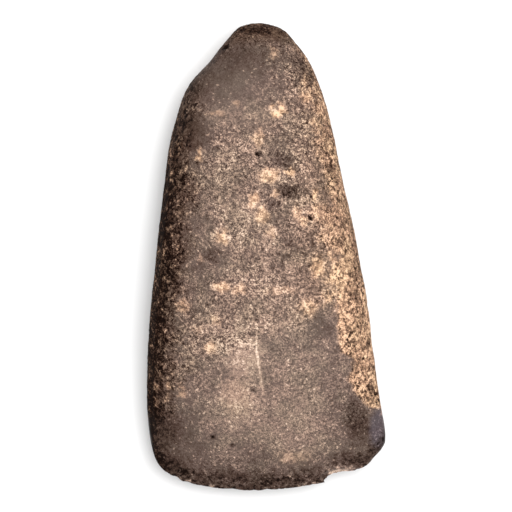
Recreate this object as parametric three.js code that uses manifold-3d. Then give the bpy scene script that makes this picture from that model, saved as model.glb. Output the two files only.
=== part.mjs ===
// A ground-stone adze blade, pecked to shape and then ground and polished, lying on its flatter back.
//
// Millimetres. +Y runs from the cutting edge to the poll (the blunt butt end), +X across the blade, and +Z
// up out of the domed front face. The origin is under the middle of the blade, in the plane of the seat,
// the small flat on the back that beds on a haft and that the blade rests on.

import * as THREE from 'three';
import { mergeVertices } from 'three/addons/utils/BufferGeometryUtils.js';
import Module from 'manifold-3d';

// Driving dimensions

const LENGTH = 140; // cutting edge to poll
const WIDTH = 71.6; // across the flare, a little above the cutting edge
const THICKNESS = 33; // seat to the crown of the front face
const EDGE_HEIGHT = 12; // cutting edge above the seat
const EDGE_BOW = 4.5; // how far the cutting edge bows out past a line between its corners
const EDGE_SKEW = 0.2; // how far the fullest part of the bow leans to the left, from 0 to 1
const EDGE_WEAR = 0.9; // thickness of the blunted cutting edge
const BEVEL_LENGTH = 34; // of the ground bevel on the back, behind the cutting edge
const POLL_HEIGHT = 13.5; // tip of the poll above the seat
const SEAT_DEPTH = 0.7; // ground off the belly of the back to make the seat
const CROWN_FROM_EDGE = 66; // where the front face is highest
const BELLY_FROM_EDGE = 84; // where the back starts to rise to the poll

// Side outlines seen from the front, from the cutting edge's corner to the poll. Each point gives the
// share of half the width, out from the centre line, and the share of the length, up from the edge.

const LEFT_SIDE = [
  [-0.79, 0.029],
  [-0.9, 0.052],
  [-0.962, 0.09],
  [-0.993, 0.15],
  [-1.0, 0.238],
  [-0.976, 0.366],
  [-0.914, 0.52],
  [-0.839, 0.686],
  [-0.749, 0.802],
  [-0.655, 0.866],
  [-0.482, 0.915],
  [-0.345, 0.96],
  [-0.235, 0.99],
  [-0.1, 1.0],
];

const RIGHT_SIDE = [
  [0.8, 0.037],
  [0.88, 0.058],
  [0.982, 0.094],
  [0.999, 0.118],
  [0.968, 0.174],
  [0.891, 0.302],
  [0.834, 0.421],
  [0.727, 0.559],
  [0.622, 0.686],
  [0.511, 0.814],
  [0.43, 0.879],
  [0.325, 0.931],
  [0.195, 0.973],
  [0.112, 0.99],
  [-0.01, 0.9985],
];

// How the cutting edge's bow and the front's softer ends die away, as shares of the length

const BOW_REACH = 0.45;
const END_ZONE = 0.16;

// Fullness of the sections: the exponent of a superellipse, 2 for an ellipse and more for squarer flanks

const FRONT_FULLNESS = 2.4;
const BACK_FULLNESS = 3.1;
const END_FULLNESS = 2.1; // front and back alike at the cutting edge and the poll
const FLANK_LEVEL = 0.46; // where the flank stands out furthest, from the back (0) to the front (1)

// Fullness of the side view, from the crown or the belly to the cutting edge and to the poll

const FRONT_TO_EDGE = 1.9;
const FRONT_TO_POLL = [2.7, 1.85];
const BACK_TO_EDGE = 1.4;
const BACK_TO_POLL = [3.0, 2.0];

// Chips in the cutting edge, each an egg-shaped hollow. Its middle is a place across the blade (share of
// half the width), a distance in from the cutting edge there (less than 0 is beyond it) and a height above
// it, and its half sizes are across, along and up.

const EDGE_CHIPS = [
  { across: 0.7, inward: -1.0, up: 3.5, half: [10.2, 4.0, 6.0] }, // the broad one
  { across: 0.9, inward: -1.1, up: -1.2, half: [3.6, 2.2, 4.2] },
  { across: -0.655, inward: -1.3, up: -0.6, half: [3.2, 1.6, 2.6] },
];

// Shallow flake scars left from shaping the stone, each a dished hollow. Place across and along the blade,
// the face it is on, how deep it dips and how wide the dish's sphere is.

const FLAKE_SCARS = [
  { across: -0.6, along: 0.895, face: 'front', depth: 0.7, radius: 75 },
  { across: -0.1, along: 0.95, face: 'back', depth: 1.0, radius: 55 },
  { across: 0.72, along: 0.74, face: 'back', depth: 0.8, radius: 80 },
];

// Mesh fineness

const STEPS_ACROSS = 24;
const STEPS_ALONG = 62;
const STEPS_THROUGH = 8;
const END_CROWDING = 0.55; // how much closer the steps along stand at the two ends, from 0 to 1
const CHIP_STEPS = 24;
const SCAR_STEPS = 64;

const STONE = new THREE.MeshStandardMaterial({ color: 0x7d6858, roughness: 0.62, metalness: 0.0 });

const { lerp, clamp, smoothstep } = THREE.MathUtils;

function sideCurve(shares) {
  return new THREE.SplineCurve(
    shares.map(([out, along]) => new THREE.Vector2((out * WIDTH) / 2, (along - 0.5) * LENGTH)),
  );
}

const leftSide = sideCurve(LEFT_SIDE);
const rightSide = sideCurve(RIGHT_SIDE);

// Height of the front face's ridge above the seat, at a distance from the cutting edge

function frontHeight(fromEdge) {
  const lip = EDGE_HEIGHT + EDGE_WEAR / 2;
  if (fromEdge < CROWN_FROM_EDGE) {
    const short = 1 - fromEdge / CROWN_FROM_EDGE;
    return lip + (THICKNESS - lip) * (1 - short ** FRONT_TO_EDGE);
  }
  const past = clamp((fromEdge - CROWN_FROM_EDGE) / (LENGTH - CROWN_FROM_EDGE), 0, 1);
  const [spread, close] = FRONT_TO_POLL;
  return POLL_HEIGHT + (THICKNESS - POLL_HEIGHT) * (1 - past ** spread) ** (1 / close);
}

// Height of the belly of the back. Its lowest stretch lies under the seat's plane until it is ground off.

function backHeight(fromEdge) {
  const lip = EDGE_HEIGHT - EDGE_WEAR / 2;
  if (fromEdge < BEVEL_LENGTH) {
    const short = 1 - fromEdge / BEVEL_LENGTH;
    return -SEAT_DEPTH + (lip + SEAT_DEPTH) * short ** BACK_TO_EDGE;
  }
  const past = clamp((fromEdge - BELLY_FROM_EDGE) / (LENGTH - BELLY_FROM_EDGE), 0, 1);
  const [spread, close] = BACK_TO_POLL;
  return POLL_HEIGHT - (POLL_HEIGHT + SEAT_DEPTH) * (1 - past ** spread) ** (1 / close);
}

// Rungs join the two side outlines, at shares from 0 on the cutting edge to 1 on the poll. Near the cutting
// edge they bow out as it does.

function rungPoint(share, across) {
  const left = leftSide.getPointAt(share);
  const right = rightSide.getPointAt(share);
  const bow = EDGE_BOW * (1 - smoothstep(share, 0, BOW_REACH));
  const fade = (1 + across) / 2;
  return new THREE.Vector2(
    lerp(left.x, right.x, fade),
    lerp(left.y, right.y, fade) - bow * (1 - across * across) * (1 - EDGE_SKEW * across),
  );
}

function distanceFromEdge(point, share, across) {
  const edge = rungPoint(0, across);
  return lerp(point.y - edge.y, point.y + LENGTH / 2, smoothstep(share, 0, BOW_REACH));
}

// A point of the blade's surface. Across and up are the point's place on its section, each from -1 to 1.

function surfacePoint(share, across, up) {
  const point = rungPoint(share, across);
  const fromEdge = distanceFromEdge(point, share, across);
  const front = frontHeight(fromEdge);
  const back = backHeight(fromEdge);
  const flank = lerp(back, front, FLANK_LEVEL);
  return new THREE.Vector3(point.x, point.y, lerp(flank, up > 0 ? front : back, Math.abs(up)));
}

function fullness(share, faceFullness) {
  const fromEnds = Math.min(share, 1 - share);
  return lerp(END_FULLNESS, faceFullness, smoothstep(fromEnds, 0, END_ZONE));
}

// Takes a point of a block, whose sides run from -1 to 1, to its place on the blade

function placeOnBlade(x, y, z) {
  const even = (y + 1) / 2;
  const crowded = (1 - Math.cos(even * Math.PI)) / 2;
  const share = clamp(lerp(even, crowded, END_CROWDING), 0, 1);
  const ring = Math.max(Math.abs(x), Math.abs(z));
  if (ring === 0) {
    return surfacePoint(share, 0, 0);
  }
  const power = fullness(share, z > 0 ? FRONT_FULLNESS : BACK_FULLNESS);
  const [dx, dz] = [x / ring, z / ring];
  const reach = ring / (Math.abs(dx) ** power + Math.abs(dz) ** power) ** (1 / power);
  return surfacePoint(share, dx * reach, dz * reach);
}

function bladeGeometry() {
  const block = new THREE.BoxGeometry(2, 2, 2, STEPS_ACROSS, STEPS_ALONG, STEPS_THROUGH);
  const position = block.attributes.position;
  for (let i = 0; i < position.count; i += 1) {
    position.setXYZ(i, ...placeOnBlade(position.getX(i), position.getY(i), position.getZ(i)));
  }
  return block;
}

const wasm = await Module();
wasm.setup();

function toSolid(geometry) {
  const plain = geometry.clone();
  plain.deleteAttribute('normal');
  plain.deleteAttribute('uv');
  const merged = mergeVertices(plain);
  return new wasm.Manifold(
    new wasm.Mesh({
      numProp: 3,
      vertProperties: new Float32Array(merged.attributes.position.array),
      triVerts: new Uint32Array(merged.index.array),
    }),
  );
}

function toGeometry(solid) {
  const mesh = solid.getMesh();
  const geometry = new THREE.BufferGeometry();
  geometry.setAttribute('position', new THREE.BufferAttribute(new Float32Array(mesh.vertProperties), 3));
  geometry.setIndex(new THREE.BufferAttribute(new Uint32Array(mesh.triVerts), 1));
  return geometry;
}

function edgeChip({ across, inward, up, half }) {
  const x = (across * WIDTH) / 2;
  const [left, right] = [leftSide.getPointAt(0), rightSide.getPointAt(0)];
  const onEdge = clamp(((x - left.x) / (right.x - left.x)) * 2 - 1, -1, 1);
  const egg = new THREE.SphereGeometry(1, CHIP_STEPS, CHIP_STEPS / 2);
  egg.scale(...half);
  egg.translate(x, rungPoint(0, onEdge).y + inward, EDGE_HEIGHT + up);
  return toSolid(egg);
}

// The sphere stands off the surface along its normal, so that it dips in by the scar's depth

function flakeScar({ across, along, face, depth, radius }) {
  const side = face === 'front' ? 1 : -1;
  const power = fullness(along, side > 0 ? FRONT_FULLNESS : BACK_FULLNESS);
  const onSection = (out) => surfacePoint(along, out, side * (1 - Math.abs(out) ** power) ** (1 / power));
  const step = 0.01;
  const point = onSection(across);
  const acrossStep = onSection(across + step).sub(point);
  const alongStep = surfacePoint(along + step, across, side * (1 - Math.abs(across) ** power) ** (1 / power));
  const normal = acrossStep.cross(alongStep.sub(point)).normalize().multiplyScalar(side);
  const sphere = new THREE.SphereGeometry(radius, SCAR_STEPS, SCAR_STEPS / 2);
  const middle = point.addScaledVector(normal, radius - depth);
  sphere.translate(middle.x, middle.y, middle.z);
  return toSolid(sphere);
}

function seatCutter() {
  const below = new THREE.BoxGeometry(2 * WIDTH, 2 * LENGTH, THICKNESS);
  below.translate(0, 0, -THICKNESS / 2);
  return toSolid(below);
}

function buildBlade() {
  const cutters = [seatCutter(), ...EDGE_CHIPS.map(edgeChip), ...FLAKE_SCARS.map(flakeScar)];
  const solid = cutters.reduce((rest, cutter) => rest.subtract(cutter), toSolid(bladeGeometry()));
  const geometry = toGeometry(solid);
  geometry.computeBoundingBox();
  const middle = geometry.boundingBox.getCenter(new THREE.Vector3());
  geometry.translate(-middle.x, -middle.y, 0);
  geometry.computeVertexNormals();
  const blade = new THREE.Mesh(geometry, STONE);
  blade.name = 'adze_blade';
  return blade;
}

const adze = new THREE.Group();
adze.add(buildBlade());

export default adze;
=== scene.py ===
"""A ground-stone adze blade, lying on the seat of its back, seen from straight above.

The blade's fine skin is made from the frame's solid. It is dented where the stone was pecked to shape, left
smooth where it was ground, and chipped along the cutting edge. Sizes inside the functions are in millimetres
unless a name says otherwise, and are turned to metres where they meet Blender.
"""

import bmesh
import bpy
import numpy as np
from bpy.props import FloatProperty, FloatVectorProperty, IntProperty, PointerProperty
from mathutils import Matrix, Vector, noise


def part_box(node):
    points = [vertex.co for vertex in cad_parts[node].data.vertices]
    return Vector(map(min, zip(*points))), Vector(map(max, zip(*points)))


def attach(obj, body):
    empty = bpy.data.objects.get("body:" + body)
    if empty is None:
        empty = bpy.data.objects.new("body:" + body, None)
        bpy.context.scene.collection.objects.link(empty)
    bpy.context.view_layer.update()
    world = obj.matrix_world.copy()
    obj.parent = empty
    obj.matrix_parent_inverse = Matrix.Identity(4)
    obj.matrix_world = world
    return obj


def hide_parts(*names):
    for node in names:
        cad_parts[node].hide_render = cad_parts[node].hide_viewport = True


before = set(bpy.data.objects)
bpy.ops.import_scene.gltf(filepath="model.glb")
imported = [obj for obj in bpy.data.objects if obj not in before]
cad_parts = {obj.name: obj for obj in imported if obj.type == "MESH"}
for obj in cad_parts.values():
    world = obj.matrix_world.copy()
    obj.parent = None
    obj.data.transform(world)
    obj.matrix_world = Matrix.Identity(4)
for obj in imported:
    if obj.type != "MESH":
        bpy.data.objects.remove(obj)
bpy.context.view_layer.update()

bl_info = {
    "name": "Stone adze blade",
    "version": (1, 0, 0),
    "blender": (4, 5, 0),
    "location": "View3D > Sidebar > Adze",
    "description": "Pecks, grinds and weathers a stone adze blade, and sets it in soft studio light",
    "category": "Object",
}

NODE = "adze_blade"
MM = 0.001

BLADE_LOW, BLADE_HIGH = (np.array(corner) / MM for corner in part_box(NODE))
EDGE_Y = BLADE_LOW[1]
POLL_Y = BLADE_HIGH[1]

# Where the ground front bevel ends, from left to right across the blade, and where the pecked right flank
# begins, from near the cutting edge up to the poll: places on the front face

BEVEL_END = [(-34, -47), (-20, -32), (-6, -25), (10, -19), (21, -14), (36, -10)]
FLANK_START = [
    (34.2, -45.6),
    (30.7, -44.5),
    (27.7, -40.6),
    (24.7, -36.1),
    (25.6, -30.1),
    (22.3, -27.7),
    (21.2, -19.7),
    (19.5, -10.0),
    (18.5, 5.0),
    (17.0, 20.0),
    (14.5, 33.0),
    (13.0, 45.0),
    (11.5, 57.0),
    (8.0, 66.0),
]

# Tan patches of patina on the front face: place, half width, half length, and how much paler it is

PATINA = [
    (1.6, 43.6, 1.0, 1.7, 0.30),
    (3.9, 45.4, 1.4, 0.9, 0.26),
    (4.5, 43.0, 1.4, 1.8, 0.38),
    (2.6, 41.5, 1.9, 1.2, 0.38),
    (-8.7, 44.9, 1.3, 1.2, 0.16),
    (-14.8, 42.0, 2.6, 0.9, 0.16),
    (-19.4, 29.8, 1.1, 1.9, 0.32),
    (-25.3, 32.8, 1.1, 1.3, 0.16),
    (-2.4, 34.8, 1.8, 3.0, 0.22),
    (2.2, 60.0, 2.0, 2.2, 0.18),
    (3.5, 65.6, 2.4, 2.0, 0.05),
    (11.3, 46.6, 2.2, 1.8, 0.23),
    (16.1, 44.1, 1.6, 2.2, 0.12),
    (0.9, 23.8, 3.3, 2.3, 0.28),
    (6.9, 24.8, 1.4, 1.9, 0.36),
    (19.0, 30.5, 1.3, 3.0, 0.06),
    (2.4, 18.4, 1.4, 1.4, 0.20),
    (-3.5, 16.4, 1.8, 2.2, 0.32),
    (-1.1, 12.2, 2.0, 2.7, 0.27),
    (1.4, 7.3, 2.3, 1.7, 0.16),
    (14.1, 18.4, 1.0, 2.2, 0.28),
    (8.6, 13.0, 1.4, 2.0, 0.20),
    (10.4, 10.6, 1.8, 1.4, 0.24),
    (15.0, 12.9, 2.5, 3.2, 0.13),
    (-13.0, 5.6, 2.1, 2.5, 0.30),
    (-18.7, -0.7, 1.0, 1.3, 0.15),
    (-13.0, -8.6, 2.8, 1.8, 0.30),
    (-7.8, -9.6, 2.3, 1.8, 0.22),
    (4.0, -9.7, 5.5, 1.4, 0.13),
    (14.8, -2.6, 2.5, 3.4, 0.27),
    (12.3, -14.6, 2.8, 3.2, 0.20),
    (-24.4, -14.6, 2.1, 2.1, 0.22),
    (-14.9, -18.0, 1.9, 1.8, 0.16),
    (-19.5, -21.0, 1.8, 2.1, 0.08),
    (-16.4, -26.2, 2.1, 2.0, 0.24),
    (-32.1, -38.5, 1.3, 1.2, 0.22),
    (-29.1, -37.9, 1.5, 0.9, 0.20),
    (-25.2, -38.2, 1.3, 1.0, 0.20),
    (-25.0, -40.2, 1.5, 1.1, 0.20),
    (-29.0, -41.0, 1.2, 1.2, 0.16),
    (-32.4, -43.3, 0.9, 1.0, 0.26),
    (-8.5, -41.0, 5.4, 6.4, 0.06),
    (8.6, -59.7, 5.8, 2.8, 0.12),
]

# Dark stains on the front face: place, half width, half length, and how much darker it is

STAINS = [
    (4.6, 28.0, 4.2, 2.7, 0.19),
    (-6.0, 22.2, 1.7, 2.6, 0.07),
    (6.6, 19.2, 3.3, 2.7, 0.29),
    (1.9, 15.2, 2.0, 1.7, 0.17),
    (19.6, 26.9, 1.6, 1.0, 0.22),
    (12.8, 11.7, 0.9, 1.0, 0.30),
    (-16.4, 0.8, 2.1, 2.5, 0.15),
    (21.8, 4.3, 2.2, 1.4, 0.13),
    (10.6, 57.4, 1.4, 3.2, 0.16),
    (13.0, 53.4, 1.2, 3.0, 0.18),
    (-3.5, 67.5, 6.5, 2.2, 0.12),
    (15.0, -17.6, 2.2, 1.6, 0.07),
    (17.8, -20.4, 1.8, 2.4, 0.08),
    (29.2, -49.5, 1.4, 5.5, 0.12),
]

# Broad areas of the front face: place, half width, half length, and how much paler or darker it is. Partly
# painted light and shade: the paler middle of the bevel and its darker sides and corners are painted form
# shading, the rest the stone's own broad tones

SHADING_AND_TONE_AREAS = [
    (-1.2, 70.5, 12.0, 6.0, -0.20),
    (0.0, 63.5, 14.0, 7.0, -0.10),
    (-6.4, 44.5, 12.0, 7.0, 0.065),
    (-9.4, 8.0, 8.0, 10.0, 0.05),
    (21.0, -4.0, 4.0, 7.5, 0.16),
    (21.5, -14.0, 3.5, 5.0, 0.10),
    (27.2, -3.0, 2.2, 8.0, -0.14),
    (-2.0, -16.0, 12.0, 6.0, 0.05),
    (-4.9, -27.7, 6.0, 6.0, 0.08),
    (-9.0, -33.0, 7.0, 9.0, 0.06),
    (-7.0, -30.5, 5.5, 5.0, 0.06),
    (1.0, -47.0, 17.0, 12.0, 0.085),
    (24.0, -43.0, 5.0, 7.0, -0.05),
    (26.3, -48.5, 3.2, 7.0, -0.20),
    (30.5, -55.5, 3.0, 4.0, -0.06),
    (-33.0, -52.0, 7.0, 13.0, -0.16),
    (-24.0, -62.0, 10.0, 5.0, -0.04),
    (-12.5, 59.0, 3.0, 4.0, -0.07),
    (-22.0, 48.5, 4.0, 3.5, -0.06),
    (-9.0, 15.0, 5.0, 4.0, 0.035),
    (7.0, 13.5, 3.0, 2.5, 0.04),
    (10.3, 53.0, 3.2, 4.0, -0.09),
    (-5.5, 52.5, 3.0, 4.0, 0.045),
    (-2.0, 41.0, 3.0, 3.0, 0.05),
    (18.0, 32.5, 3.0, 5.0, -0.08),
    (17.0, 14.0, 3.0, 3.0, -0.05),
    (7.0, -4.0, 3.0, 3.0, 0.06),
    (-24.5, -13.0, 3.0, 3.5, 0.05),
    (-11.0, 41.0, 7.0, 4.0, 0.065),
    (-28.0, 32.0, 4.0, 7.0, 0.06),
    (-23.5, 16.0, 4.5, 22.0, 0.05),
    (-18.0, 5.0, 3.0, 4.0, 0.05),
    (0.5, 5.0, 4.0, 3.5, 0.09),
    (12.5, 5.0, 5.0, 3.5, -0.06),
    (-11.5, -3.5, 4.0, 3.0, 0.06),
    (13.0, -4.0, 3.0, 3.0, -0.05),
    (5.0, -31.0, 6.0, 4.0, 0.035),
    (14.5, -30.7, 4.0, 4.5, 0.06),
    (4.5, -21.5, 6.0, 3.5, 0.045),
    (0.5, -8.5, 3.5, 6.0, 0.045),
    (-5.0, 32.0, 5.0, 2.8, 0.045),
    (-11.5, -39.7, 4.5, 4.0, 0.05),
    (23.5, -45.0, 4.5, 5.0, -0.04),
    (-25.0, -51.5, 4.5, 5.0, -0.06),
    (-3.0, -58.0, 5.0, 4.0, -0.06),
    (24.0, -57.0, 6.0, 4.0, -0.04),
    (-4.0, -62.5, 13.0, 4.0, -0.075),
    (3.0, -66.0, 7.0, 2.5, -0.05),
    (21.4, -64.6, 3.8, 2.1, 0.43),
    (25.8, -63.9, 3.6, 1.7, 0.26),
]

# Worn, smoother areas among the pecking on the front face: place, half width, half length, and how smooth

WORN = [
    (-11.0, 52.0, 14.0, 15.0, 1.0),
    (-20.5, 36.5, 5.5, 8.0, 1.0),
    (-20.7, 3.0, 5.5, 18.0, 0.6),
    (-14.0, -2.0, 5.0, 6.0, 0.4),
    (-26.0, -56.0, 8.0, 9.0, 0.7),
]

# Deep round pits on the front face: place, radius and depth

PITS = [
    (-11.9, 62.3, 0.75, 0.8),
    (-2.3, 29.9, 0.65, 1.0),
    (19.4, 26.6, 0.55, 0.45),
    (-16.1, -53.3, 0.6, 0.6),
    (-10.1, -55.8, 0.55, 0.5),
    (12.8, 11.5, 0.7, 0.6),
    (-3.7, -38.8, 0.7, 0.4),
    (32.4, -40.3, 0.6, 0.6),
]

# Small nicks and tongues along the cutting edge: place across, half width, and how far the edge is broken
# back there. Less than 0 is a tongue that stands out past the solid's chips.

NICKS = [
    (-27.2, 0.9, 0.35),
    (-25.2, 0.8, -0.35),
    (-21.9, 1.6, -0.55),
    (-10.0, 2.2, 0.35),
    (0.3, 1.2, 0.30),
    (25.3, 2.0, -0.38),
    (29.2, 1.9, 0.75),
    (31.6, 0.9, 0.30),
    (33.0, 1.2, 0.45),
]

# Scratches on the front face: the points that each follows, and how plain it is

SCRATCHES = [
    ([(-3.1, -18.8), (-2.8, -27.7), (-2.1, -33.1), (-1.1, -38.5), (-0.7, -42.1)], 1.0),
    ([(-4.3, -17.0), (-4.5, -26.5)], 0.35),
    ([(-18.3, -57.9), (-19.8, -61.5)], 0.3),
]

# How the grain's noise is turned against the blade, in radians, so that no face lies along the noise's axes

GRAIN_TURN = (0.5, 0.7, 0.9)

# Sizes of the lumps and dents in the skin

SWELLS = 13.0
BROAD_LUMPS = 9.0
RAGGED_LUMPS = 2.2
FINE_LUMPS = 1.2
GRAIN_LUMPS = 0.9
NICK_LUMPS = 2.4
SMALL_DENTS = 1.7
LARGE_DENTS = 3.4
POLL_DENTS = 2.6

# Depths that aren't among the settings: how much lower the ground faces lie, and how deep the scratches and
# the dents on the end of the poll are

GROUND_AWAY = 0.1
SCRATCH_DEPTH = 0.14
POLL_DENT_DEPTH = 0.5

# The tone of plain stone, from 0 to 1, and how much paler or darker than that its parts are. The right
# flank's paleness is partly painted light, the left flank's darkness partly painted shade, and the darker
# band along the cutting edge painted shade

STONE_TONE = 0.480
PECKED_TONE = 0.05
RIGHT_FLANK_PATINA_AND_LIGHT_TONE = 0.162
LEFT_FLANK_STAIN_AND_SHADE_TONE = -0.45
PIT_TONE = -0.8
SCRATCH_TONE = 0.36
EDGE_SHADE_TONE = -0.25
CHIP_TONE = 0.3
WORN_TONE = -0.10
POLL_END_TONE = -0.2

# Sizes of the lumps in the stone's colour

GRIT_LUMPS = 0.36
CRUMB_LUMPS = 0.9
CLOUD_LUMPS = 7.0
PORE_LUMPS = 1.8
SPECK_LUMPS = 0.8

# Tints that the stone's colour is multiplied by: red, green and blue

COLD_TINT = (0.975, 1.01, 1.055)
TAN_TINT = (1.08, 0.975, 0.84)
GREENISH_TINT = (0.99, 0.995, 0.98)
PINKISH_TINT = (1.025, 0.985, 1.0)
BLUISH_TINT = (0.72, 0.80, 1.05)
NO_TINT = (1.0, 1.0, 1.0)

# The large soft light, in metres

KEY_PLACE = (0.17, 0.10, 0.98)
KEY_WIDTH = 0.7


def colour_setting(name, description, default):
    """A colour among an add-on's settings."""
    return FloatVectorProperty(
        name=name,
        description=description,
        default=default,
        subtype="COLOR",
        size=3,
        min=0.0,
        max=1.0,
    )


class AdzeStoneSettings(bpy.types.PropertyGroup):
    """Sizes and colours of the blade's stone"""

    skin_fineness: FloatProperty(
        name="Skin fineness",
        description="Size of a face of the fine skin",
        default=0.45 * MM,
        min=0.3 * MM,
        unit="LENGTH",
    )
    kept_share: FloatProperty(
        name="Faces kept",
        description="Share of the fine skin's faces that is kept when its back is thinned out",
        default=0.72,
        min=0.3,
        max=1.0,
    )
    ease_rounds: IntProperty(
        name="Easing rounds",
        description="How often the facets of the solid are eased into each other",
        default=24,
        min=0,
    )
    undulation: FloatProperty(
        name="Undulation",
        description="How far the hand-worked faces swell and sink",
        default=0.22 * MM,
        unit="LENGTH",
    )
    peck_depth: FloatProperty(
        name="Peck depth",
        description="Depth of the dents that were pecked with a hammerstone",
        default=0.32 * MM,
        unit="LENGTH",
    )
    grain_depth: FloatProperty(
        name="Grain depth",
        description="Height of the crumbly grain of pecked stone",
        default=0.07 * MM,
        unit="LENGTH",
    )
    nick_depth: FloatProperty(
        name="Nick depth",
        description="Depth of the small nicks along the cutting edge",
        default=0.25 * MM,
        unit="LENGTH",
    )
    # The darkest colours below also colour the dark left flank and the band along the cutting edge, so there
    # they are painted shade as well as dirt and grime
    pore: colour_setting("Pores", "Colour of the dirt in the pores of the stone", (0.006, 0.0022, 0.0012))
    grime_and_shade: colour_setting("Grime", "Colour of the brown grime in the stone's hollows", (0.060, 0.035, 0.025))
    stone: colour_setting("Stone", "Colour of the body of the stone", (0.135, 0.094, 0.074))
    patina: colour_setting("Patina", "Colour of the tan patina", (0.395, 0.264, 0.188))
    pale: colour_setting("Pale grains", "Colour of the palest grains", (0.78, 0.585, 0.44))


class AdzeStageSettings(bpy.types.PropertyGroup):
    """Sizes and colours of the floor, the lights and the camera"""

    floor_colour: colour_setting("Floor", "Colour of the floor", (0.9, 0.9, 0.9))
    floor_width: FloatProperty(
        name="Floor width",
        description="Width of the square floor",
        default=6.0,
        unit="LENGTH",
    )
    key_power: FloatProperty(
        name="Key light",
        description="Strength of the large soft light above and to the right",
        default=12.5,
    )
    sky_strength: FloatProperty(
        name="Sky light",
        description="Strength of the even light from all round",
        default=0.45,
    )
    lens_mm: FloatProperty(
        name="Lens",
        description="Focal length of the camera in millimetres",
        default=135.0,
    )
    view_width: FloatProperty(
        name="Width in view",
        description="What the picture spans at the height of the blade's outline",
        default=153.0 * MM,
        unit="LENGTH",
    )
    look_at: FloatVectorProperty(
        name="Look at",
        description="The point that the camera looks down on",
        default=(-3.07 * MM, 0.37 * MM, 14.0 * MM),
        subtype="TRANSLATION",
        size=3,
    )


def smoothstep(value, start, end):
    """0 before start, 1 past end and a soft ramp between, for numbers or arrays. Start may be past end."""
    t = np.clip((value - start) / (end - start), 0.0, 1.0)
    return t * t * (3.0 - 2.0 * t)


def lumps(points, size, octaves=2, seed=0):
    """Soft noise from about -1 to 1 at each point, with lumps of that size."""
    shift = Vector((31.7, 11.3, 23.9)) * seed
    return np.array(
        [noise.fractal(Vector(p) / size + shift, 0.6, 2.0, octaves) for p in points]
    )


def dents(points, spacing, seed=0):
    """1 in the middle of each round dent and 0 on the ridges between them, some deeper than others."""
    shift = Vector((7.1, 19.7, 3.3)) * seed
    depths = np.empty(len(points))
    for i, point in enumerate(points):
        distances, centres = noise.voronoi(Vector(point) / spacing + shift)
        bowl = max(0.0, 1.0 - (distances[0] / 0.66) ** 2)
        off_border = min((distances[1] - distances[0]) / 0.3, 1.0)
        share = 0.5 + noise.noise(centres[0] * 5.3)
        depths[i] = bowl * off_border * min(max(share, 0.0), 1.0)
    return depths


def line_distance(x, y, line):
    """Distance of each place on the front face from a line of points."""
    nearest = np.full(len(x), np.inf)
    for (x0, y0), (x1, y1) in zip(line, line[1:]):
        run, rise = x1 - x0, y1 - y0
        share = np.clip(((x - x0) * run + (y - y0) * rise) / (run**2 + rise**2), 0.0, 1.0)
        nearest = np.minimum(nearest, np.hypot(x - x0 - share * run, y - y0 - share * rise))
    return nearest


def merged_copy(node):
    """A new mesh with a node's loose triangles joined at their corners."""
    shell = bmesh.new()
    shell.from_mesh(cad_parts[node].data)
    bmesh.ops.remove_doubles(shell, verts=shell.verts, dist=0.001 * MM)
    for face in shell.faces:
        face.material_index = 0
    mesh = bpy.data.meshes.new(node + "_skin")
    shell.to_mesh(mesh)
    shell.free()
    return mesh


def apply_modifiers(piece):
    """Makes what the modifiers show the object's own mesh."""
    graph = bpy.context.evaluated_depsgraph_get()
    mesh = bpy.data.meshes.new_from_object(piece.evaluated_get(graph))
    piece.modifiers.clear()
    piece.data = mesh


def fine_skin(node, fineness):
    """An object whose mesh is a closed skin of small even faces over a node's solid."""
    skin = bpy.data.objects.new("stone_blade", merged_copy(node))
    bpy.context.scene.collection.objects.link(skin)
    remesh = skin.modifiers.new("Fine skin", "REMESH")
    remesh.mode = "VOXEL"
    remesh.voxel_size = fineness
    apply_modifiers(skin)
    return skin


def thin_back(skin, kept):
    """Leaves larger faces on the plainer back, and keeps that share of the whole skin's faces."""
    under = np.flatnonzero(read_normals(skin.data)[:, 2] < -0.1)
    back = skin.vertex_groups.new(name="back")
    back.add(under.tolist(), 1.0, "REPLACE")
    thinner = skin.modifiers.new("Thinner back", "DECIMATE")
    thinner.ratio = kept
    thinner.vertex_group = back.name
    apply_modifiers(skin)
    skin.vertex_groups.clear()


def read_points(mesh):
    """The vertices' places, in millimetres."""
    flat = np.empty(len(mesh.vertices) * 3)
    mesh.vertices.foreach_get("co", flat)
    return flat.reshape(-1, 3) / MM


def write_points(mesh, points):
    """Puts the vertices at places in millimetres."""
    mesh.vertices.foreach_set("co", (points * MM).ravel())
    mesh.update()


def read_normals(mesh):
    """The way that the surface faces at each vertex."""
    flat = np.empty(len(mesh.vertices) * 3)
    mesh.vertex_normals.foreach_get("vector", flat)
    return flat.reshape(-1, 3)


def read_edges(mesh):
    """The first and the second vertex of each edge."""
    flat = np.empty(len(mesh.edges) * 2, int)
    mesh.edges.foreach_get("vertices", flat)
    return flat.reshape(-1, 2).T


def neighbour_mean(values, edges):
    """Each vertex's mean over its neighbours, for one column of values or several."""
    first, second = edges
    count = np.bincount(first, minlength=len(values)) + np.bincount(second, minlength=len(values))
    columns = values.reshape(len(values), -1).T
    totals = [
        np.bincount(first, column[second], len(values)) + np.bincount(second, column[first], len(values))
        for column in columns
    ]
    return (np.array(totals) / count).T.reshape(values.shape)


def above_rim(points):
    """How far up each point is from where the blade ends below it, at its place across the blade."""
    x, y = points[:, 0], points[:, 1]
    start = x.min()
    columns = np.round(x - start).astype(int)
    lowest = np.full(columns.max() + 1, POLL_Y)
    np.minimum.at(lowest, columns, y)
    return y - np.interp(x - start, np.arange(len(lowest)), lowest)


def eased(points, edges, rounds):
    """Points with small creases taken out, but for the cutting edge, whose chips stay crisp. Each round
    shrinks the form a little and swells it back."""
    shrink, swell = 0.5, -0.53
    hold_edge = 0.05 + 0.95 * smoothstep(above_rim(points), 4.0, 10.0)
    for _ in range(rounds):
        for amount in (shrink, swell):
            pull = neighbour_mean(points, edges) - points
            points = points + amount * hold_edge[:, None] * pull
    return points


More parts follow.
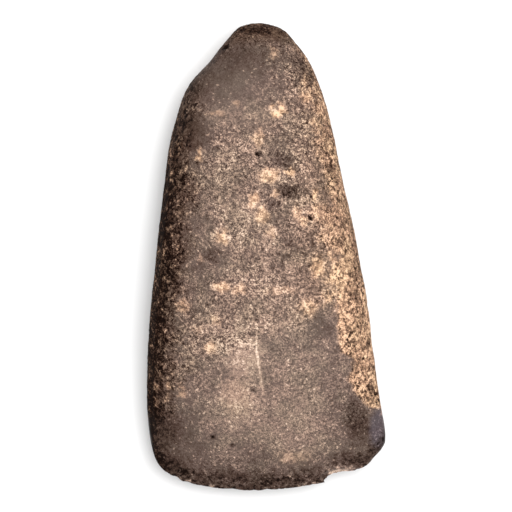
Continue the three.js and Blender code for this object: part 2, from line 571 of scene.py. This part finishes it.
class Surface:
    """What the relief and the colours both need to know of each point of the skin."""

    def __init__(self, points, normals):
        self.points = points
        self.x, self.y, self.z = points.T
        self.normals = normals
        self.front = smoothstep(normals[:, 2], -0.25, 0.15)
        self.broad = lumps(points, BROAD_LUMPS, 3, seed=1)
        self.ragged = lumps(points, RAGGED_LUMPS, 3, seed=2)
        self.flank = smoothstep(np.abs(normals[:, 0]), 0.45, 0.85)
        self.fine = lumps(points, FINE_LUMPS, 2, seed=8)
        self.warp_x = self.x + 0.9 * self.ragged + 0.4 * self.fine
        self.warp_y = self.y + lumps(points, RAGGED_LUMPS, 3, seed=10)
        self.worn = self.front * self.blots(WORN, np.maximum)
        self.patina = self.front * self.blots(PATINA, np.maximum, 1.3, 0.4)
        self.stains = self.front * self.blots(STAINS, np.maximum, 1.5, 0.15)
        self.pecked = self.find_pecked()
        self.hollow = 0.4 * dents(points, SMALL_DENTS, seed=1) + 0.6 * dents(points, LARGE_DENTS, seed=2)
        # The pecked right flank, whose paleness in tone() is partly painted light
        self.right = self.front * self.find_right_flank()
        # The dark left flank: a stain that is partly painted shade, as of light from the right. It is less
        # dark up at the poll, at the cutting edge and low by the seat
        wander = 0.14 * self.broad + 0.06 * self.ragged
        self.left = smoothstep(-normals[:, 0] + wander, 0.26, 0.82)
        self.left *= 0.25 + 0.75 * smoothstep(self.y + 40.0 * wander, 62.0, 24.0)
        self.left *= 1.0 - 0.55 * smoothstep(self.y, -48.0, -55.0)
        self.left *= 0.3 + 0.7 * smoothstep(self.z + 30.0 * wander, 1.0, 13.0)
        self.rim = above_rim(points)

    def blots(self, places, join, outer=1.5, inner=0.25):
        """Ragged blots on the front face, added up or the strongest taken. Each has its full strength inside
        the inner share of its size, and none outside the outer share."""
        total = np.zeros(len(self.x))
        for x, y, half_width, half_length, amount in places:
            gap = np.hypot((self.warp_x - x) / half_width, (self.warp_y - y) / half_length)
            total = join(total, amount * smoothstep(gap, outer, inner))
        return total

    def distance_from(self, x, y):
        """How far each point is from the one that shows at a place on the front face."""
        aside = np.hypot(self.x - x, self.y - y)
        aside[self.normals[:, 2] < 0.0] = np.inf
        return np.linalg.norm(self.points - self.points[np.argmin(aside)], axis=1)

    def find_right_flank(self):
        """1 on the pecked flank on the right, which the bevel's grinding didn't reach."""
        flank_x, flank_y = np.array(FLANK_START).T
        start = np.interp(self.y, flank_y, flank_x)
        upper = smoothstep(self.y, -24.0, -12.0)
        wander = (0.8 + 2.0 * upper) * (self.broad + self.ragged)
        inside = smoothstep(self.x - start + wander, -1.4 - 1.6 * upper, 1.4 + 1.6 * upper)
        inside = inside * smoothstep(self.y + 1.5 * self.ragged, -48.0, -45.0)
        return inside * (0.55 + 0.45 * smoothstep(self.y, 8.0, -16.0))

    def find_pecked(self):
        """1 where the hammerstone's pecking is left, 0 where it was ground away."""
        wander = 2.2 * self.broad + 1.2 * self.ragged
        bevel_x, bevel_y = np.array(BEVEL_END).T
        flank_x, flank_y = np.array(FLANK_START).T
        past_bevel = smoothstep(self.y - np.interp(self.x, bevel_x, bevel_y) + wander, -3.0, 4.0)
        on_flank = smoothstep(self.x - np.interp(self.y, flank_y, flank_x) + 0.4 * wander, -1.0, 1.2)
        on_flank = on_flank * smoothstep(self.y, -48.0, -45.0)
        left_flank = smoothstep(-self.x, 26.0, 32.0) * smoothstep(self.y, -50.0, -44.0)
        front = np.maximum(np.maximum(past_bevel * (1.0 - self.worn), on_flank), left_flank)
        back = smoothstep(self.y + wander, EDGE_Y + 30.0, EDGE_Y + 38.0)
        back = back * (1.0 - 0.6 * smoothstep(-self.normals[:, 2], 0.9, 0.98))
        return self.front * front + (1.0 - self.front) * back


def relief(surface, stone):
    """How far each point stands off the eased solid, in millimetres. Less than 0 is into the stone."""
    points = surface.points
    depth = stone.undulation / MM * lumps(points, SWELLS, 2, seed=3)
    share = 0.12 + 0.88 * surface.pecked + 0.15 * surface.pecked * surface.flank
    depth -= stone.peck_depth / MM * surface.hollow * share
    grain = stone.grain_depth / MM * lumps(points, GRAIN_LUMPS, 2, seed=4)
    depth += grain * (0.15 + 0.85 * surface.pecked)
    depth -= GROUND_AWAY * (1.0 - surface.pecked) * surface.front
    for x, y, radius, deep in PITS:
        depth -= deep * np.exp(-((surface.distance_from(x, y) / radius) ** 2))
    for line, plainness in SCRATCHES:
        gap = line_distance(surface.x + 0.2 * surface.ragged, surface.y, line) / 0.5
        depth -= surface.front * SCRATCH_DEPTH * plainness * np.exp(-(gap**2))
    battered = smoothstep(surface.y, POLL_Y - 8.0, POLL_Y - 2.0)
    depth -= battered * POLL_DENT_DEPTH * dents(points, POLL_DENTS, seed=5)
    off_seat = smoothstep(surface.z - BLADE_LOW[2], 0.05, 0.7)
    off_edge = 0.25 + 0.75 * smoothstep(surface.rim, 0.5, 3.0)
    return depth * off_seat * np.where(surface.y < -45.0, off_edge, 1.0)


def edge_nicks(surface, stone):
    """How far each point is broken back from the cutting edge, in millimetres."""
    along = np.array([[x, 0.0, 0.0] for x in surface.x])
    run = lumps(along, NICK_LUMPS, 3, seed=6)
    back = stone.nick_depth / MM * np.clip(run + 0.15, 0.0, 1.0)
    for place, half_width, depth in NICKS:
        back += depth * np.exp(-(((surface.x - place) / half_width) ** 2))
    return back * smoothstep(surface.rim, 3.0, 0.3) * smoothstep(surface.y, -50.0, -55.0)


def tone(surface):
    """How pale each point of the stone is, from 0 to 1. Besides the stone's own tones it holds painted light
    on the right flank and the middle of the bevel, and painted shade on the left flank, along the cutting
    edge and at the bevel's sides.
    """
    pecked, right, left = surface.pecked, surface.right, surface.left
    loose = 0.28 + 0.30 * pecked + 0.80 * right + 0.75 * left
    value = STONE_TONE + PECKED_TONE * pecked + 0.055 * (1.0 + 1.2 * right) * surface.broad
    # The paler right flank, partly tan patina and partly painted light
    value = value + RIGHT_FLANK_PATINA_AND_LIGHT_TONE * right
    value = value + loose * (0.12 * surface.ragged + 0.15 * surface.fine)
    mottle = 0.9 + 0.7 * surface.fine + 0.4 * surface.ragged
    value = value + surface.patina * mottle - surface.stains * (1.0 + 0.4 * surface.fine)
    # Broad areas: partly the stone's own tones, partly painted light and shade
    value = value + surface.front * surface.blots(SHADING_AND_TONE_AREAS, np.add)
    value = value - surface.hollow * pecked * (0.08 + 0.24 * right)
    for x, y, radius, deep in PITS:
        value = value + PIT_TONE * deep * np.exp(-((surface.distance_from(x, y) / radius) ** 2))
    for line, plainness in SCRATCHES:
        gap = line_distance(surface.x + 0.25 * surface.ragged, surface.y, line) / 0.33
        fade = 0.5 + 0.5 * np.exp(-(((surface.y + 29.0) / 6.0) ** 2)) + 0.5 * surface.ragged
        value = value + SCRATCH_TONE * plainness * surface.front * np.exp(-(gap**2)) * fade
    specks = smoothstep(0.6 * surface.fine + 0.5 * surface.ragged, 0.1, 0.6)
    # The dark left flank, partly stain and partly painted shade, broken by paler specks
    value = value + LEFT_FLANK_STAIN_AND_SHADE_TONE * left * (1.0 - 0.55 * specks)
    # A darker band along the cutting edge: painted shade where the bevel turns down to the edge
    near_edge = smoothstep(surface.rim + 1.2 * surface.ragged, 7.5, 2.5)
    near_edge = near_edge * smoothstep(surface.y, -46.0, -54.0)
    value = value + (EDGE_SHADE_TONE + 0.16 * surface.fine) * near_edge
    chipped = smoothstep(surface.rim, 1.3, 0.4) * smoothstep(surface.ragged + surface.fine, 0.1, 0.6)
    value = value + CHIP_TONE * near_edge * chipped
    value = value + WORN_TONE * surface.worn
    poll_end = smoothstep(surface.y + 2.0 * surface.broad + surface.ragged, 61.0, 69.0)
    value = value + POLL_END_TONE * poll_end * (1.0 - surface.front)
    return np.clip(value, 0.02, 0.98)


def tan_share(surface):
    """How warm and tan the colour of each point is."""
    share = surface.pecked * (0.1 + 0.3 * smoothstep(surface.x, 3.0, 18.0))
    share = share + surface.right + 0.8 * surface.left + surface.patina / 0.4
    return share + 0.7 * smoothstep(surface.y, 61.0, 67.0)


def pore_share(surface):
    """How strongly dark pores break up the colour at each point."""
    share = 0.15 * surface.pecked + 0.54 * surface.right + 0.4 * surface.left
    return share * (1.0 + 0.3 * surface.broad)


def grit_share(surface):
    """How strongly the stone's grains differ from each other at each point."""
    share = 0.47 + 0.22 * surface.pecked + 0.2 * surface.right + 0.2 * surface.left
    share = share - 0.24 * surface.worn
    share = share + 0.14 * smoothstep(surface.x, 3.0, 9.0) * smoothstep(surface.y, 5.0, 20.0)
    share = share - 0.4 * surface.patina
    return share * (1.0 + 0.3 * surface.broad + 0.3 * surface.ragged)


def bluish_share(surface):
    """1 on the small bluish ground facet at the right corner of the cutting edge."""
    gap = np.hypot((surface.x - 34.5) / 4.0, (surface.y + 51.5) / 6.5) + 0.12 * surface.ragged
    return surface.front * smoothstep(gap, 1.25, 0.7)


def write_share(mesh, name, values):
    """Keeps one number for each vertex under a name that the material reads."""
    attribute = mesh.attributes.new(name, "FLOAT", "POINT")
    attribute.data.foreach_set("value", np.clip(values, 0.0, 1.0).astype(np.float32))


class Wiring:
    """Adds nodes to a material and joins them."""

    def __init__(self, name):
        self.material = bpy.data.materials.new(name)
        self.material.use_nodes = True
        self.tree = self.material.node_tree
        self.shader = self.tree.nodes["Principled BSDF"]

    def put(self, socket, value):
        """Joins a node's output to a socket, or sets the socket to a number or colour."""
        if isinstance(value, bpy.types.NodeSocket):
            self.tree.links.new(value, socket)
        elif hasattr(value, "__len__") and len(value) == 3 and socket.type == "RGBA":
            socket.default_value = (*value, 1.0)
        else:
            socket.default_value = value

    def node(self, kind, settings, inputs):
        """A new node with its settings, and with its inputs joined or set."""
        node = self.tree.nodes.new(kind)
        for name, value in settings.items():
            setattr(node, name, value)
        for name, value in inputs.items():
            self.put(node.inputs[name], value)
        return node

    def noise(self, place, size, detail=2.0, roughness=0.6):
        """Noise from 0 to 1 with lumps of that size in metres."""
        inputs = {"Vector": place, "Scale": 1.0 / size, "Detail": detail, "Roughness": roughness}
        return self.node("ShaderNodeTexNoise", {}, inputs).outputs["Fac"]

    def share(self, name):
        """One of the shares that the mesh keeps for each vertex."""
        return self.node("ShaderNodeAttribute", {"attribute_name": name}, {}).outputs["Fac"]

    def maths(self, operation, *values):
        """What one sum of numbers or outputs gives."""
        node = self.tree.nodes.new("ShaderNodeMath")
        node.operation = operation
        for socket, value in zip(node.inputs, values):
            self.put(socket, value)
        return node.outputs[0]

    def spread(self, fraction, amount):
        """Noise from 0 to 1 turned to one about 0, and made that much stronger."""
        return self.maths("MULTIPLY", self.maths("SUBTRACT", fraction, 0.5), amount)

    def colours(self, value, stops):
        """A run of colours, each at its place from 0 to 1."""
        node = self.tree.nodes.new("ShaderNodeValToRGB")
        elements = node.color_ramp.elements
        while len(elements) < len(stops):
            elements.new(0.5)
        for element, (place, colour) in zip(elements, stops):
            element.position = place
            element.color = (*colour, 1.0)
        self.put(node.inputs["Fac"], value)
        return node.outputs["Color"]

    def ramp(self, value, low, high):
        """0 at low, 1 at high and a soft ramp between. Low may be past high."""
        settings = {"interpolation_type": "SMOOTHSTEP"}
        ends = (low, high) if low < high else (high, low)
        results = (0.0, 1.0) if low < high else (1.0, 0.0)
        inputs = {"Value": value, "From Min": ends[0], "From Max": ends[1]}
        inputs |= {"To Min": results[0], "To Max": results[1]}
        return self.node("ShaderNodeMapRange", settings, inputs).outputs["Result"]

    def mix(self, share, first, second, blend="MIX"):
        """The first colour turned into the second by a share."""
        node = self.tree.nodes.new("ShaderNodeMix")
        node.data_type = "RGBA"
        node.blend_type = blend
        self.put(node.inputs[0], share)
        self.put(node.inputs[6], first)
        self.put(node.inputs[7], second)
        return node.outputs[2]


def stone_material(stone):
    """Grainy stone whose colour runs from dirt in its pores to pale patina, as its tone says."""
    wiring = Wiring("pecked_and_ground_stone")
    straight = wiring.node("ShaderNodeTexCoord", {}, {}).outputs["Object"]
    turn = {"Vector": straight, "Rotation": GRAIN_TURN}
    place = wiring.node("ShaderNodeMapping", {}, turn).outputs["Vector"]
    pecked = wiring.share("pecked")
    grit = wiring.noise(place, GRIT_LUMPS * MM, 1.0, 0.5)
    crumbs = wiring.noise(place, CRUMB_LUMPS * MM, 2.0, 0.6)
    cloud = wiring.noise(place, CLOUD_LUMPS * MM, 2.0, 0.5)

    grains = wiring.maths("ADD", wiring.spread(grit, 1.28), wiring.spread(crumbs, 1.15))
    value = wiring.maths("ADD", wiring.share("tone"), wiring.maths("MULTIPLY", grains, wiring.share("grit")))
    holes = wiring.ramp(wiring.noise(place, PORE_LUMPS * MM, 3.0, 0.75), 0.49, 0.34)
    holes = wiring.maths("MULTIPLY", holes, wiring.share("pores"))
    value = wiring.maths("SUBTRACT", value, wiring.maths("MULTIPLY", holes, 0.5))
    specks = wiring.ramp(wiring.noise(place, SPECK_LUMPS * MM, 0.0, 0.5), 0.72, 0.80)
    value = wiring.maths("ADD", value, wiring.maths("MULTIPLY", specks, 0.22))
    # The run of colours goes from dirt and painted shade in the darker stops to patina and painted light in
    # the paler ones
    colour = wiring.colours(
        value,
        [
            (0.08, stone.pore),
            (0.26, stone.grime_and_shade),
            (0.48, stone.stone),
            (0.70, stone.patina),
            (0.95, stone.pale),
        ],
    )
    warmth = wiring.mix(wiring.share("tan"), COLD_TINT, TAN_TINT)
    colour = wiring.mix(1.0, colour, warmth, "MULTIPLY")
    tint = wiring.mix(wiring.ramp(cloud, 0.35, 0.65), GREENISH_TINT, PINKISH_TINT)
    colour = wiring.mix(1.0, colour, tint, "MULTIPLY")
    cool = wiring.mix(wiring.share("bluish"), NO_TINT, BLUISH_TINT)
    colour = wiring.mix(1.0, colour, cool, "MULTIPLY")

    height = wiring.maths("ADD", grit, wiring.maths("MULTIPLY", crumbs, 0.8))
    strength = wiring.maths("MULTIPLY_ADD", pecked, 0.7, 0.2)
    bump = wiring.node("ShaderNodeBump", {}, {"Height": height, "Strength": strength, "Distance": 0.2 * MM})
    roughness = wiring.maths("MULTIPLY_ADD", pecked, 0.33, 0.52)
    wiring.put(wiring.shader.inputs["Base Color"], colour)
    wiring.put(wiring.shader.inputs["Roughness"], roughness)
    wiring.put(wiring.shader.inputs["Normal"], bump.outputs["Normal"])
    wiring.put(wiring.shader.inputs["Specular IOR Level"], 0.04)
    return wiring.material


class ADZE_OT_blade(bpy.types.Operator):
    """Makes the blade: a fine skin over the solid, with its pecking, grinding, chips and colours"""

    bl_idname = "adze.blade"
    bl_label = "Make the blade"

    def execute(self, context):
        stone = context.scene.adze_stone
        skin = fine_skin(NODE, stone.skin_fineness)
        points = eased(read_points(skin.data), read_edges(skin.data), stone.ease_rounds)
        write_points(skin.data, points)
        thin_back(skin, stone.kept_share)
        mesh = skin.data
        points = read_points(mesh)
        surface = Surface(points, read_normals(mesh))
        points = points + relief(surface, stone)[:, None] * surface.normals
        points[:, 1] += edge_nicks(surface, stone)
        write_points(mesh, np.clip(points, BLADE_LOW, BLADE_HIGH))
        shares = {
            "pecked": surface.pecked,
            "tone": tone(surface),
            "grit": grit_share(surface),
            "tan": tan_share(surface),
            "pores": pore_share(surface),
            "bluish": bluish_share(surface),
        }
        for name, values in shares.items():
            write_share(mesh, name, values)
        mesh.materials.clear()
        mesh.materials.append(stone_material(stone))
        mesh.shade_smooth()
        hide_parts(NODE)
        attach(skin, "root")
        print("stone_blade has", sum(len(face.vertices) - 2 for face in mesh.polygons), "triangles")
        return {"FINISHED"}


def floor_piece(settings):
    """A square floor, level with the seat that the blade lies on."""
    plane = bmesh.new()
    bmesh.ops.create_grid(plane, x_segments=1, y_segments=1, size=settings.floor_width / 2)
    mesh = bpy.data.meshes.new("floor")
    plane.to_mesh(mesh)
    plane.free()
    wiring = Wiring("pale_floor")
    wiring.put(wiring.shader.inputs["Base Color"], settings.floor_colour)
    wiring.put(wiring.shader.inputs["Roughness"], 0.9)
    mesh.materials.append(wiring.material)
    floor = bpy.data.objects.new("floor", mesh)
    bpy.context.scene.collection.objects.link(floor)


def soft_light(name, place, width, power):
    """A square soft light at a place in metres, turned to the blade."""
    light = bpy.data.lights.new(name, "AREA")
    light.size = width
    light.energy = power
    lamp = bpy.data.objects.new(name, light)
    lamp.location = place
    lamp.rotation_euler = (-Vector(place)).to_track_quat("-Z", "Y").to_euler()
    bpy.context.scene.collection.objects.link(lamp)


def sky(strength):
    """Even white light from all round."""
    world = bpy.data.worlds.new("studio")
    world.use_nodes = True
    background = world.node_tree.nodes["Background"]
    background.inputs["Color"].default_value = (1.0, 1.0, 1.0, 1.0)
    background.inputs["Strength"].default_value = strength
    bpy.context.scene.world = world


def top_camera(settings):
    """A camera straight above the blade, with the poll at the top of the picture."""
    camera = bpy.data.cameras.new("camera")
    camera.lens = settings.lens_mm
    height = settings.view_width * settings.lens_mm / camera.sensor_width
    eye = bpy.data.objects.new("camera", camera)
    eye.location = Vector(settings.look_at) + Vector((0.0, 0.0, height))
    bpy.context.scene.collection.objects.link(eye)
    bpy.context.scene.camera = eye


class ADZE_OT_stage(bpy.types.Operator):
    """Makes the floor, the lights and the camera"""

    bl_idname = "adze.stage"
    bl_label = "Make the stage"

    def execute(self, context):
        settings = context.scene.adze_stage
        floor_piece(settings)
        soft_light("key_light", KEY_PLACE, KEY_WIDTH, settings.key_power)
        sky(settings.sky_strength)
        top_camera(settings)
        context.scene.view_settings.view_transform = "Standard"
        return {"FINISHED"}


class ADZE_PT_sidebar(bpy.types.Panel):
    """Lists the steps that make the blade and its stage"""

    bl_idname = "ADZE_PT_sidebar"
    bl_label = "Stone adze blade"
    bl_space_type = "VIEW_3D"
    bl_region_type = "UI"
    bl_category = "Adze"

    def draw(self, context):
        for settings, operator in (
            (context.scene.adze_stone, ADZE_OT_blade),
            (context.scene.adze_stage, ADZE_OT_stage),
        ):
            box = self.layout.box()
            box.operator(operator.bl_idname)
            for name in settings.__annotations__:
                box.prop(settings, name)


CLASSES = (AdzeStoneSettings, AdzeStageSettings, ADZE_OT_blade, ADZE_OT_stage, ADZE_PT_sidebar)


def register():
    for cls in CLASSES:
        bpy.utils.register_class(cls)
    bpy.types.Scene.adze_stone = PointerProperty(type=AdzeStoneSettings)
    bpy.types.Scene.adze_stage = PointerProperty(type=AdzeStageSettings)


def unregister():
    del bpy.types.Scene.adze_stage
    del bpy.types.Scene.adze_stone
    for cls in reversed(CLASSES):
        bpy.utils.unregister_class(cls)


def main():
    register()
    bpy.ops.adze.blade()
    bpy.ops.adze.stage()


if __name__ == "__main__":
    main()
